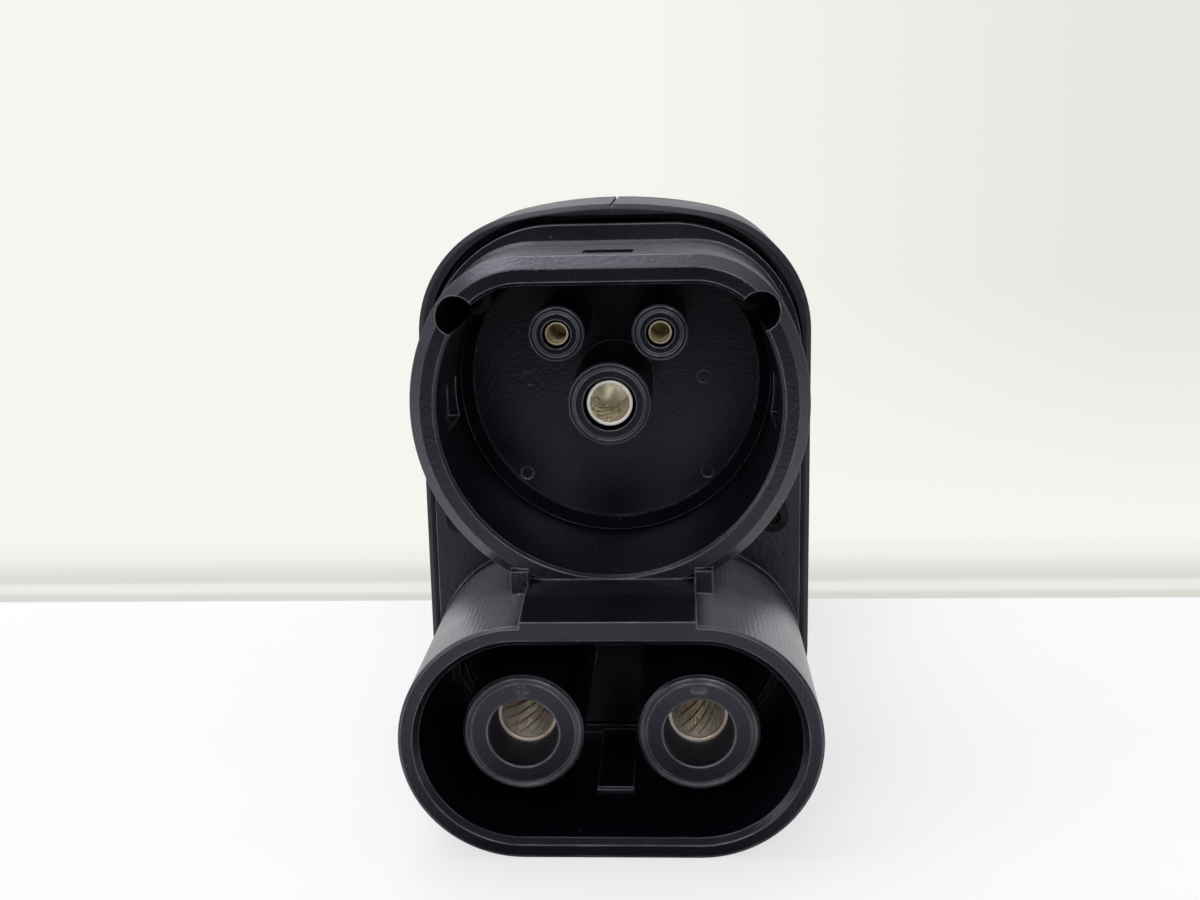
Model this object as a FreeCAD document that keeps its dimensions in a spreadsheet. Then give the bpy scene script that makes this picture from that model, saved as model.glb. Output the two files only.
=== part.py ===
import FreeCAD, Part
import math
import os
import Sketcher
from FreeCAD import Placement, Rotation, Vector

# Electric vehicle charging adapter: a combined plug face in front, a combined inlet behind.
# X runs to the right seen from the front, Y from the front to the back, Z up from the table.
# The origin is on the table, under the middle of the adapter. Every size is in millimetres.

SIZES = {
    # Whole adapter
    "overallLength": 150.0,
    "dcPitch": 27.0,
    "axisSpacing": 48.1,
    "slideGap": 0.1,
    # Front shroud round the three upper sockets: a circle with a flat top
    "acShroudRadius": 31.3,
    "acShroudFlat": 23.6,
    "acShroudCorner": 16.0,
    "acShroudWall": 4.4,
    "acFaceDepth": 16.9,
    "acCavityDepth": 27.5,
    "acFloorStep": 2.0,
    "acFloorWidth": 25.0,
    "acFaceChamfer": 1.8,
    "acLipChamfer": 0.5,
    "shroudRoot": 0.5,
    "driverChannelWidth": 6.1,
    "driverChannelSide": 23.4,
    "driverChannelRise": 14.8,
    "driverChannelDepth": 26.0,
    "keySlotWidth": 8.0,
    "keySlotStart": 6.0,
    "keySlotLength": 8.0,
    "keySlotDepth": 2.6,
    "lockPocketHeight": 7.0,
    "lockPocketDrop": 1.4,
    "lockPocketStart": 8.5,
    "lockPocketLength": 13.0,
    "lockPocketDepth": 1.6,
    # Front shroud round the two direct current sockets: a stadium
    "dcShroudRadius": 18.7,
    "dcShroudWall": 3.1,
    "dcCavityDepth": 40.0,
    "dcRimChamfer": 0.9,
    "dcOuterChamfer": 0.4,
    "dcFloorStep": 1.5,
    "bridgeWidth": 26.4,
    "bridgeRise": 1.9,
    "bridgeRimRise": 0.7,
    "bridgeBevel": 9.0,
    "ribThickness": 2.8,
    "ribLead": 1.5,
    "sideRibHeight": 6.5,
    "sideRibReach": 1.6,
    "sideRibLength": 6.0,
    "lowStepWidth": 5.9,
    "lowStepRise": 0.6,
    "lowStepStart": 17.0,
    # Flange between the shrouds and the handle
    "flangeDepth": 41.3,
    "flangeThickness": 4.0,
    "flangeHalfWidth": 31.9,
    "flangeTopRise": 26.9,
    "flangeTopCorner": 22.0,
    "flangeBottom": 1.3,
    "flangeBottomCorner": 17.4,
    "lowScrewSide": 27.0,
    "lowScrewDrop": 23.5,
    "screwHoleWidth": 3.3,
    "gasketThickness": 1.2,
    "gasketInset": 0.6,
    "gasketWidth": 1.3,
    "sleeveInset": 1.5,
    # Handle, a clamshell in two halves
    "shellHalfWidth": 33.5,
    "shellTopRise": 30.2,
    "shellCrown": 1.4,
    "shellTopCorner": 20.5,
    "shellBottomCorner": 18.7,
    "shellWall": 2.6,
    "shellLipChamfer": 0.8,
    "seamGrooveWidth": 0.5,
    "seamGrooveDepth": 0.5,
    # Socket towers in front
    "towerRecess": 4.0,
    "peTowerWidth": 13.3,
    "faceRingInset": 0.9,
    "faceRingWidth": 0.25,
    "faceRingDepth": 0.25,
    "signalTowerWidth": 8.9,
    "signalSide": 8.1,
    "signalRise": 11.2,
    "towerEdge": 0.25,
    "carrierPlate": 5.0,
    "dimpleWidth": 2.2,
    "dimpleDepth": 0.15,
    "highDimpleSide": 15.4,
    "lowDimpleSide": 16.0,
    "lowDimpleDrop": 17.0,
    "carrierStopWidth": 0.9,
    "carrierStopThickness": 2.2,
    "dcTowerWidth": 18.7,
    "dcTowerRecess": 4.2,
    "dcTowerMouth": 11.0,
    "dcTowerThroat": 9.3,
    "dcTowerEdge": 0.5,
    "dcMouthDepth": 7.6,
    "signRise": 6.9,
    "signWidth": 2.0,
    "signStroke": 0.5,
    "signDepth": 0.25,
    # Contacts in front
    "peContactWidth": 7.3,
    "peContactBore": 6.3,
    "peTowerBore": 8.4,
    "peRecess": 1.3,
    "signalContactWidth": 3.7,
    "signalContactBore": 3.06,
    "signalTowerBore": 4.5,
    "signalRecess": 0.9,
    "dcContactWidth": 10.8,
    "dcContactBore": 8.4,
    "contactCollar": 0.9,
    "contactCollarThickness": 2.0,
    "contactTailWidth": 6.0,
    "peTailWidth": 5.0,
    "signalTailWidth": 2.4,
    "tailLength": 9.0,
    # Twisted strip springs that line the sockets
    "dcCrownWall": 0.3,
    "peCrownWall": 0.2,
    "signalCrownWall": 0.12,
    "crownWaist": 0.25,
    "crownRing": 1.6,
    "crownLip": 0.8,
    "crownFit": 0.02,
    "crownStripShare": 0.5,
    "crownSlant": 0.3,
    "crownSlit": 0.035,
    "dcCrownLength": 20.0,
    "peCrownLength": 15.0,
    "signalCrownLength": 10.0,
    # Handle along its length
    "collarLength": 30.0,
    "taperShare": 0.403,
    "waistShare": 0.252,
    "waistHalfWidth": 27.0,
    "waistBottom": 5.0,
    "waistTop": 84.0,
    "waistCorner": 17.0,
    "rearHalfWidth": 35.4,
    "rearTop": 89.6,
    "rearTopCorner": 26.0,
    "rearBottomCorner": 20.0,
    "rearCrown": 1.0,
    "mouthGap": 0.1,
    "mouthRise": 1.4,
    "bossWidth": 7.0,
    "bossLength": 9.0,
    "bossWebLength": 12.0,
    "bossWebThickness": 3.0,
    "screwWidth": 3.0,
    "screwHeadWidth": 5.5,
    "screwHeadHeight": 2.0,
    "screwSocketWidth": 2.6,
    "screwSocketDepth": 1.2,
    # Rear inlet
    "rearFaceLength": 33.0,
    "rearCollarLength": 6.0,
    "rearSpigotLength": 5.0,
    "rearSpigotWall": 2.4,
    "rearAxisSpacing": 42.6,
    "rearAcRadius": 22.3,
    "rearAcCoreRadius": 18.4,
    "rearAcDepth": 28.0,
    "rearCoreRecess": 2.5,
    "rearDcAxis": 21.6,
    "rearDcRadius": 19.0,
    "rearDcDepth": 28.0,
    "rearFloor": 4.0,
    "rearRimChamfer": 1.0,
    "rearPinWidth": 8.0,
    "rearPinTip": 3.0,
    "rearPinRecess": 5.0,
    "rearPinBase": 12.0,
    "rearPePinWidth": 2.8,
    "rearSignalPinWidth": 1.5,
    "rearPeHole": 7.4,
    "rearSignalHole": 5.4,
    "rearBlankHole": 9.0,
    "rearBlankDepth": 2.0,
    "rearPeDrop": 10.6,
    "rearSignalSide": 10.2,
    "rearSignalDrop": 3.9,
    "rearLineSide": 7.9,
    "rearLineRise": 6.8,
    # Inside the handle
    "busbarWidth": 14.0,
    "busbarThickness": 3.0,
    "sleeveWidth": 9.4,
    "busbarStep": 8.0,
    "rearTail": 3.0,
    "wireLead": 5.0,
    "rearPeBase": 6.0,
    "rearSignalBase": 3.2,
    "resistorPitch": 7.0,
    "wireWidth": 2.0,
    "peWireWidth": 5.0,
    "retainerCover": 1.6,
    "retainerRim": 2.0,
    "boardWidth": 40.0,
    "boardLead": 15.7,
    "boardGap": 2.7,
    "boardThickness": 1.6,
    "boardBottom": 68.0,
    "railWidth": 3.0,
    "railHeight": 2.0,
    "resistorWidth": 3.0,
    "resistorLength": 8.0,
    "seamScrewSeat": 14.0,
    "seamScrewLength": 22.0,
    "seamScrewLow": 12.0,
    "seamScrewHigh": 76.5,
    "highScrewLength": 19.5,
    "lowScrewLength": 14.0,
    "rearGasketThickness": 1.0,
    "catchWidth": 15.0,
    "catchRise": 2.0,
    "catchLength": 9.0,
    "catchCrest": 3.5,
    "catchSetback": 6.0,
}


class Size:
    """A length: its number now and the sheet expression that gives it."""

    def __init__(self, value, text):
        self.value = float(value)
        self.text = text

    def join(self, other, sign, value):
        return Size(value, f"({self.text} {sign} {other.text})")

    def __add__(self, other):
        other = as_size(other)
        return self.join(other, "+", self.value + other.value)

    def __sub__(self, other):
        other = as_size(other)
        return self.join(other, "-", self.value - other.value)

    def __mul__(self, other):
        other = as_size(other)
        return self.join(other, "*", self.value * other.value)

    def __truediv__(self, other):
        other = as_size(other)
        return self.join(other, "/", self.value / other.value)

    def __rsub__(self, other):
        return as_size(other) - self

    def __neg__(self):
        return Size(-self.value, f"(0 - {self.text})")


def as_size(item):
    """A plain number counts as a size that never changes."""
    return item if isinstance(item, Size) else Size(item, repr(float(item)))


def lean(inwards, depth):
    """The angle of a side that closes in by the first size over the second."""
    angle = -math.degrees(math.atan2(inwards.value, depth.value))
    return Size(angle, f"-atan(({inwards.text}) / ({depth.text}))")


def root(item):
    return Size(math.sqrt(item.value), f"sqrt({item.text})")


class Sheet:
    """The spreadsheet of driving sizes, read by name."""

    def __init__(self, doc):
        table = doc.addObject("Spreadsheet::Sheet", "Sizes")
        for row, (name, value) in enumerate(SIZES.items(), start=1):
            table.set(f"A{row}", name)
            table.set(f"B{row}", str(value))
            table.setAlias(f"B{row}", name)
        doc.recompute()

    def __getattr__(self, name):
        return Size(SIZES[name], f"Sizes.{name}")


TOUCH_LIMIT = 1e-6
CROWN_STRIPS = 16
doc = FreeCAD.newDocument("ChargingAdapter")
S = Sheet(doc)
ZERO = as_size(0)
NODES = []


def bind(item, path, size):
    """Sets a property and ties it to the sheet."""
    item.setExpression(path, size.text)


def new_body(name):
    body = doc.addObject("PartDesign::Body", name)
    body.Label = name
    return body


def keep(item, name):
    """Marks a finished sub-part, which is written to a file of its own."""
    item.Label = name
    NODES.append(item)
    return item


def place(item, x=ZERO, y=ZERO, z=ZERO):
    x, y, z = as_size(x), as_size(y), as_size(z)
    item.Placement = Placement(Vector(x.value, y.value, z.value), Rotation())
    bind(item, "Placement.Base.x", x)
    bind(item, "Placement.Base.y", y)
    bind(item, "Placement.Base.z", z)
    return item


def sketch(body, name, role, offset=None):
    """A sketch on one of the body's own origin planes, moved along the plane's normal."""
    plane = next(p for p in body.Origin.OriginFeatures if p.Role == role)
    item = body.newObject("Sketcher::SketchObject", name)
    item.AttachmentSupport = [(plane, "")]
    item.MapMode = "FlatFace"
    if offset is not None:
        item.AttachmentOffset = Placement(Vector(0, 0, offset.value), Rotation())
        bind(item, "AttachmentOffset.Base.z", offset)
    return item


def front_sketch(body, name, y):
    """A sketch seen from the front at the depth y: across is X and up is Z."""
    return sketch(body, name, "XZ_Plane", -as_size(y))


def hold(item, kind, *places, size):
    """Adds a dimension and ties it to the sheet."""
    index = item.addConstraint(Sketcher.Constraint(kind, *places, size.value))
    bind(item, f"Constraints[{index}]", size)


def hold_point(item, line, end, x, y):
    """Fixes one point of a sketch by its distances from the sketch's origin."""
    for kind, size, axis in (("DistanceX", as_size(x), -2), ("DistanceY", as_size(y), -1)):
        if abs(size.value) < 1e-9:
            item.addConstraint(Sketcher.Constraint("PointOnObject", line, end, axis))
        elif size.value > 0:
            hold(item, kind, -1, 1, line, end, size=size)
        else:
            hold(item, kind, line, end, -1, 1, size=-size)


def disc(item, x, y, radius):
    x, y = as_size(x), as_size(y)
    centre = Vector(x.value, y.value, 0)
    index = item.addGeometry(Part.Circle(centre, Vector(0, 0, 1), radius.value), False)
    hold_point(item, index, 3, x, y)
    hold(item, "Radius", index, size=radius)


def polygon(item, points):
    """A closed run of straight lines through the points."""
    points = [(as_size(x), as_size(y)) for x, y in points]
    spots = [Vector(x.value, y.value, 0) for x, y in points]
    count = len(spots)
    first = item.GeometryCount
    for index in range(count):
        item.addGeometry(Part.LineSegment(spots[index], spots[(index + 1) % count]), False)
    for index in range(count):
        following = first + (index + 1) % count
        item.addConstraint(Sketcher.Constraint("Coincident", first + index, 2, following, 1))
    for index, (x, y) in enumerate(points):
        hold_point(item, first + index, 1, x, y)


def box_outline(item, left, right, low, high):
    polygon(item, [(left, low), (right, low), (right, high), (left, high)])


def arc_between(centre, radius, start, end):
    """The arc that runs anticlockwise from one spot to another round a centre."""
    first = math.atan2(start.y - centre.y, start.x - centre.x)
    last = math.atan2(end.y - centre.y, end.x - centre.x)
    if last < first:
        last += 2 * math.pi
    return Part.ArcOfCircle(Part.Circle(centre, Vector(0, 0, 1), radius), first, last)


def hull(item, discs):
    """A smooth closed outline round discs, given anticlockwise as centre and radius.

    Two discs that touch from inside join without a line, and the larger one's centre
    then follows from the smaller one's.
    """
    discs = [(as_size(x), as_size(y), as_size(r)) for x, y, r in discs]
    centres = [Vector(x.value, y.value, 0) for x, y, r in discs]
    radii = [r.value for x, y, r in discs]
    count = len(discs)
    starts = [None] * count
    ends = [None] * count
    direct = [False] * count
    free = [False] * count
    for index in range(count):
        following = (index + 1) % count
        run = centres[following] - centres[index]
        share = (radii[index] - radii[following]) / run.Length
        direct[index] = abs(share) > 1 - TOUCH_LIMIT
        turn = math.acos(max(-1.0, min(1.0, share)))
        angle = math.atan2(run.y, run.x) - turn
        normal = Vector(math.cos(angle), math.sin(angle), 0)
        ends[index] = centres[index] + normal * radii[index]
        starts[following] = ends[index] if direct[index] else centres[following] + normal * radii[following]
        if direct[index]:
            free[index if radii[index] > radii[following] else following] = True
    first = item.GeometryCount
    arcs = []
    last = first
    for index in range(count):
        arcs.append(last)
        item.addGeometry(arc_between(centres[index], radii[index], starts[index], ends[index]), False)
        last += 1
        if not direct[index]:
            item.addGeometry(Part.LineSegment(ends[index], starts[(index + 1) % count]), False)
            last += 1
    total = last - first
    for index in range(total):
        following = first + (index + 1) % total
        item.addConstraint(Sketcher.Constraint("Tangent", first + index, 2, following, 1))
    for index, (x, y, radius) in enumerate(discs):
        if not free[index]:
            hold_point(item, arcs[index], 3, x, y)
        hold(item, "Radius", arcs[index], size=radius)


def stadium(item, half_pitch, y, radius):
    hull(item, [(-half_pitch, y, radius), (half_pitch, y, radius)])


def flattened_circle(item, y, radius, flat, corner):
    """A circle with a flat top, joined by two smaller corner arcs."""
    rise = flat - corner
    side = root((radius - corner) * (radius - corner) - rise * rise)
    middle = Vector(0, y.value, 0)
    right = Vector(side.value, y.value + rise.value, 0)
    left = Vector(-side.value, y.value + rise.value, 0)
    reach = radius.value / (radius.value - corner.value)
    right_joint = middle + (right - middle) * reach
    left_joint = middle + (left - middle) * reach
    lift = Vector(0, corner.value, 0)
    first = item.GeometryCount
    item.addGeometry(arc_between(middle, radius.value, left_joint, right_joint), False)
    item.addGeometry(arc_between(right, corner.value, right_joint, right + lift), False)
    item.addGeometry(Part.LineSegment(right + lift, left + lift), False)
    item.addGeometry(arc_between(left, corner.value, left + lift, left_joint), False)
    for index in range(4):
        following = first + (index + 1) % 4
        item.addConstraint(Sketcher.Constraint("Tangent", first + index, 2, following, 1))
    hold_point(item, first, 3, ZERO, y)
    hold(item, "Radius", first, size=radius)
    hold(item, "Radius", first + 1, size=corner)
    hold(item, "Radius", first + 3, size=corner)
    hold(item, "DistanceY", -1, 1, first + 1, 3, size=y + rise)
    hold(item, "DistanceY", -1, 1, first + 3, 3, size=y + rise)


def pad(body, profile, depth, towards_front=False):
    """Material from the sketch's plane to the back, or to the front."""
    item = body.newObject("PartDesign::Pad", profile.Name + "Pad")
    item.Profile = profile
    item.Length = depth.value
    bind(item, "Length", depth)
    item.Reversed = not towards_front
    return item


def tapered_pad(body, profile, depth):
    """Material towards the front whose sides lean in by 45 degrees."""
    item = pad(body, profile, depth, towards_front=True)
    item.TaperAngle = -45
    return item


def pocket(body, profile, depth=None):
    """A cut from the sketch's plane to the back, right through if no depth is given."""
    item = body.newObject("PartDesign::Pocket", profile.Name + "Cut")
    item.Profile = profile
    if depth is None:
        item.Type = "ThroughAll"
    else:
        item.Length = depth.value
        bind(item, "Length", depth)
    return item


def tapered_pocket(body, profile, depth):
    """A cut to the back whose sides close in by 45 degrees."""
    item = pocket(body, profile, depth)
    item.TaperAngle = -45
    return item


def turned(name, points, x=ZERO, z=ZERO, label=None):
    """A turned piece: radius and Y of each outline point, round an axis along Y at x and z."""
    body = new_body(name)
    profile = sketch(body, name + "Outline", "XY_Plane")
    polygon(profile, points)
    item = body.newObject("PartDesign::Revolution", name + "Turn")
    item.Profile = profile
    item.ReferenceAxis = (profile, ["V_Axis"])
    item.Angle = 360
    place(body, x, ZERO, z)
    return body


def chamfer(body, base, size, chosen):
    """A chamfer on the edges of the last feature that the test picks."""
    doc.recompute()
    names = [f"Edge{i}" for i, edge in enumerate(base.Shape.Edges, start=1) if chosen(edge.BoundBox)]
    item = body.newObject("PartDesign::Chamfer", base.Name + "Chamfer")
    item.Base = (base, names)
    item.Size = size.value
    bind(item, "Size", size)
    return item


def at_depth(box, y):
    """True for an edge that lies in the plane across Y at this depth."""
    return abs(box.YMin - y.value) < 0.01 and abs(box.YMax - y.value) < 0.01


FRONT = ZERO - S.overallLength / 2
BACK = S.overallLength / 2
DC_AXIS = S.dcShroudRadius
AC_AXIS = DC_AXIS + S.axisSpacing
HALF_PITCH = S.dcPitch / 2
AC_FACE = FRONT + S.acFaceDepth
FLANGE = FRONT + S.flangeDepth
FLANGE_BACK = FLANGE + S.flangeThickness
AC_FLOOR = AC_FACE + S.acCavityDepth + S.acFloorStep
DC_FLOOR = FRONT + S.dcCavityDepth + S.dcFloorStep


def flange_outline(item, inset, rise=ZERO):
    width = S.flangeHalfWidth
    top = S.flangeTopCorner
    low = S.flangeBottomCorner
    base = S.flangeBottom
    hull(item, [
        (-(width - low), base + low, low - inset),
        (width - low, base + low, low - inset),
        (width - top, AC_AXIS + S.flangeTopRise + rise - top, top - inset),
        (-(width - top), AC_AXIS + S.flangeTopRise + rise - top, top - inset),
    ])


def screw_places():
    """Axes of the four flange screws, across and up."""
    high = AC_AXIS + S.driverChannelRise
    low = AC_AXIS - S.lowScrewDrop
    return [
        (-S.driverChannelSide, high),
        (S.driverChannelSide, high),
        (-S.lowScrewSide, low),
        (S.lowScrewSide, low),
    ]


def front_connector_body():
    """One moulding: flat-topped shroud above, stadium shroud below, flange behind them."""
    body = new_body("front_connector_body")
    flange = front_sketch(body, "flange", FLANGE)
    flange_outline(flange, ZERO)
    pad(body, flange, S.flangeThickness)
    upper = front_sketch(body, "upperShroud", AC_FACE + S.acFaceChamfer)
    flattened_circle(upper, AC_AXIS, S.acShroudRadius, S.acShroudFlat, S.acShroudCorner)
    pad(body, upper, FLANGE - AC_FACE - S.acFaceChamfer)
    nose = front_sketch(body, "upperNose", AC_FACE + S.acFaceChamfer)
    flattened_circle(nose, AC_AXIS, S.acShroudRadius, S.acShroudFlat, S.acShroudCorner)
    tapered_pad(body, nose, S.acFaceChamfer)
    root_step = front_sketch(body, "upperRoot", FLANGE)
    flattened_circle(
        root_step,
        AC_AXIS,
        S.acShroudRadius + S.shroudRoot,
        S.acShroudFlat + S.shroudRoot,
        S.acShroudCorner + S.shroudRoot,
    )
    tapered_pad(body, root_step, S.shroudRoot)
    sleeve = front_sketch(body, "upperSleeve", FLANGE)
    flattened_circle(
        sleeve,
        AC_AXIS,
        S.acShroudRadius - S.sleeveInset,
        S.acShroudFlat - S.sleeveInset,
        S.acShroudCorner - S.sleeveInset,
    )
    pad(body, sleeve, AC_FLOOR + S.carrierPlate - FLANGE)
    lower = front_sketch(body, "lowerShroud", FRONT + S.dcOuterChamfer)
    stadium(lower, HALF_PITCH, DC_AXIS, DC_AXIS)
    pad(body, lower, FLANGE - FRONT - S.dcOuterChamfer)
    lower_nose = front_sketch(body, "lowerNose", FRONT + S.dcOuterChamfer)
    stadium(lower_nose, HALF_PITCH, DC_AXIS, DC_AXIS)
    tapered_pad(body, lower_nose, S.dcOuterChamfer)
    bridge = front_sketch(body, "bridge", FRONT + S.bridgeBevel)
    bridge_top = DC_AXIS * 2 + S.bridgeRise
    box_outline(bridge, -S.bridgeWidth / 2, S.bridgeWidth / 2, DC_AXIS * 2 - S.dcShroudWall, bridge_top)
    pad(body, bridge, FLANGE - FRONT - S.bridgeBevel)
    rim = sketch(body, "bridgeNose", "YZ_Plane", -S.bridgeWidth / 2)
    polygon(rim, [
        (FRONT, DC_AXIS * 2 - S.bridgeRimRise * 2),
        (FRONT + S.bridgeBevel, DC_AXIS * 2 - S.bridgeRimRise * 2),
        (FRONT + S.bridgeBevel, bridge_top),
        (FRONT, DC_AXIS * 2 + S.bridgeRimRise),
    ])
    pad(body, rim, S.bridgeWidth, towards_front=True)
    ribs = front_sketch(body, "ribs", AC_FACE - S.ribLead)
    rib_low = DC_AXIS * 2 - S.dcShroudWall / 2
    rib_high = AC_AXIS - S.acShroudRadius + S.ribThickness * 2
    for side in (-1, 1):
        inner = S.bridgeWidth / 2 * side
        outer = (S.bridgeWidth / 2 + S.ribThickness) * side
        box_outline(ribs, min(inner, outer, key=lambda s: s.value), max(inner, outer, key=lambda s: s.value),
                    rib_low, rib_high)
    pad(body, ribs, FLANGE - AC_FACE + S.ribLead)
    cavity = front_sketch(body, "upperCavity", AC_FACE)
    wall = S.acShroudWall
    flattened_circle(cavity, AC_AXIS, S.acShroudRadius - wall, S.acShroudFlat - wall, S.acShroudCorner - wall)
    pocket(body, cavity, S.acCavityDepth)
    cone = front_sketch(body, "upperFloorCone", AC_FACE + S.acCavityDepth)
    flattened_circle(cone, AC_AXIS, S.acShroudRadius - wall, S.acShroudFlat - wall, S.acShroudCorner - wall)
    tapered_pocket(body, cone, S.acFloorStep)
    floor = front_sketch(body, "upperFloorHole", AC_FACE)
    floor_hole(floor, ZERO)
    pocket(body, floor)
    lower_cavity = front_sketch(body, "lowerCavity", FRONT)
    stadium(lower_cavity, HALF_PITCH, DC_AXIS, DC_AXIS - S.dcShroudWall)
    pocket(body, lower_cavity, S.dcCavityDepth)
    cavity_end = HALF_PITCH + DC_AXIS - S.dcShroudWall
    cavity_floor = FRONT + S.dcCavityDepth
    side_ribs = front_sketch(body, "sideRibs", cavity_floor - S.sideRibLength)
    rib_base = DC_AXIS - S.sideRibHeight / 2
    box_outline(side_ribs, -(cavity_end + S.dcShroudWall / 2), -(cavity_end - S.sideRibReach),
                rib_base, rib_base + S.sideRibHeight)
    box_outline(side_ribs, cavity_end - S.sideRibReach, cavity_end + S.dcShroudWall / 2,
                rib_base, rib_base + S.sideRibHeight)
    pad(body, side_ribs, S.sideRibLength)
    low_step = front_sketch(body, "lowStep", FRONT + S.lowStepStart)
    box_outline(low_step, -S.lowStepWidth / 2, S.lowStepWidth / 2,
                S.dcShroudWall / 2, S.dcShroudWall + S.lowStepRise)
    pad(body, low_step, S.dcCavityDepth - S.lowStepStart)
    lower_floor = front_sketch(body, "lowerFloorHole", FRONT)
    stadium(lower_floor, HALF_PITCH, DC_AXIS, DC_AXIS - S.dcShroudWall - S.dcFloorStep)
    pocket(body, lower_floor)
    funnel = front_sketch(body, "lowerFunnel", FRONT)
    stadium(funnel, HALF_PITCH, DC_AXIS, DC_AXIS - S.dcShroudWall + S.dcRimChamfer)
    tapered_pocket(body, funnel, S.dcRimChamfer)
    lip = front_sketch(body, "upperFunnel", AC_FACE)
    lip_wall = wall - S.acLipChamfer
    flattened_circle(lip, AC_AXIS, S.acShroudRadius - lip_wall, S.acShroudFlat - lip_wall,
                     S.acShroudCorner - lip_wall)
    tapered_pocket(body, lip, S.acLipChamfer)
    channels = front_sketch(body, "driverChannels", AC_FACE)
    for side in (-1, 1):
        disc(channels, S.driverChannelSide * side, AC_AXIS + S.driverChannelRise, S.driverChannelWidth / 2)
    pocket(body, channels, S.driverChannelDepth)
    holes = front_sketch(body, "screwHoles", AC_FACE)
    for x, z in screw_places():
        disc(holes, x, z, S.screwHoleWidth / 2)
    pocket(body, holes)
    slot = sketch(body, "keySlot", "XY_Plane", AC_AXIS + S.acShroudFlat)
    slot_start = AC_FACE + S.keySlotStart
    box_outline(slot, -S.keySlotWidth / 2, S.keySlotWidth / 2, slot_start, slot_start + S.keySlotLength)
    pocket(body, slot, S.keySlotDepth)
    locks = front_sketch(body, "lockPockets", AC_FACE + S.lockPocketStart)
    reach = S.acShroudRadius - wall + S.lockPocketDepth
    lock_low = AC_AXIS - S.lockPocketDrop - S.lockPocketHeight / 2
    box_outline(locks, -reach, reach, lock_low, lock_low + S.lockPocketHeight)
    pocket(body, locks, S.lockPocketLength)
    return body


def floor_hole(item, inset):
    """The hole that takes the upper contact carrier."""
    radius = S.acFloorWidth
    wall = S.acShroudRadius - S.acFloorWidth
    flattened_circle(item, AC_AXIS, radius - inset, S.acShroudFlat - wall - inset, S.acShroudCorner - wall - inset)


AC_BACK = AC_FLOOR + S.carrierPlate + S.carrierStopThickness
DC_BACK = FLANGE_BACK + S.carrierStopThickness
SHOULDER = FLANGE_BACK + S.gasketThickness
AC_TOWER_FACE = AC_FACE + S.towerRecess
DC_TOWER_FACE = FRONT + S.dcTowerRecess
REAR_DC_AXIS = S.rearDcAxis
REAR_AC_AXIS = REAR_DC_AXIS + S.rearAxisSpacing
REAR_JOINT = BACK - S.rearFaceLength
REAR_TAIL_START = REAR_JOINT - S.contactCollarThickness / 2 - S.tailLength
SIGNAL_AXIS = AC_AXIS + S.signalRise


def face_ring(item, x, z, width):
    """The thin ring groove close inside the edge of a tower's face."""
    outer = width / 2 - S.faceRingInset
    disc(item, x, z, outer)
    disc(item, x, z, outer - S.faceRingWidth)


def upper_contact_carrier():
    """The floor of the upper shroud with its three socket towers, slid in from behind."""
    body = new_body("upper_contact_carrier")
    plate = front_sketch(body, "upperPlate", AC_FLOOR)
    floor_hole(plate, S.slideGap)
    pad(body, plate, S.carrierPlate)
    stop = front_sketch(body, "upperStop", AC_FLOOR + S.carrierPlate)
    floor_hole(stop, -S.carrierStopWidth)
    pad(body, stop, S.carrierStopThickness)
    towers = front_sketch(body, "upperTowers", AC_TOWER_FACE + S.towerEdge)
    disc(towers, ZERO, AC_AXIS, S.peTowerWidth / 2)
    for side in (-1, 1):
        disc(towers, S.signalSide * side, SIGNAL_AXIS, S.signalTowerWidth / 2)
    pad(body, towers, AC_FLOOR - AC_TOWER_FACE - S.towerEdge)
    edges = front_sketch(body, "upperTowerEdges", AC_TOWER_FACE + S.towerEdge)
    disc(edges, ZERO, AC_AXIS, S.peTowerWidth / 2)
    for side in (-1, 1):
        disc(edges, S.signalSide * side, SIGNAL_AXIS, S.signalTowerWidth / 2)
    tapered_pad(body, edges, S.towerEdge)
    bores = front_sketch(body, "upperBores", AC_TOWER_FACE)
    disc(bores, ZERO, AC_AXIS, S.peTowerBore / 2)
    for side in (-1, 1):
        disc(bores, S.signalSide * side, SIGNAL_AXIS, S.signalTowerBore / 2)
    pocket(body, bores)
    dimples = front_sketch(body, "floorDimples", AC_FLOOR)
    for side in (-1, 1):
        disc(dimples, S.highDimpleSide * side, AC_AXIS, S.dimpleWidth / 2)
        disc(dimples, S.lowDimpleSide * side, AC_AXIS - S.lowDimpleDrop, S.dimpleWidth / 2)
    pocket(body, dimples, S.dimpleDepth)
    rings = front_sketch(body, "upperFaceRings", AC_TOWER_FACE)
    face_ring(rings, ZERO, AC_AXIS, S.peTowerWidth)
    for side in (-1, 1):
        face_ring(rings, S.signalSide * side, SIGNAL_AXIS, S.signalTowerWidth)
    pocket(body, rings, S.faceRingDepth)
    return body


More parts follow.
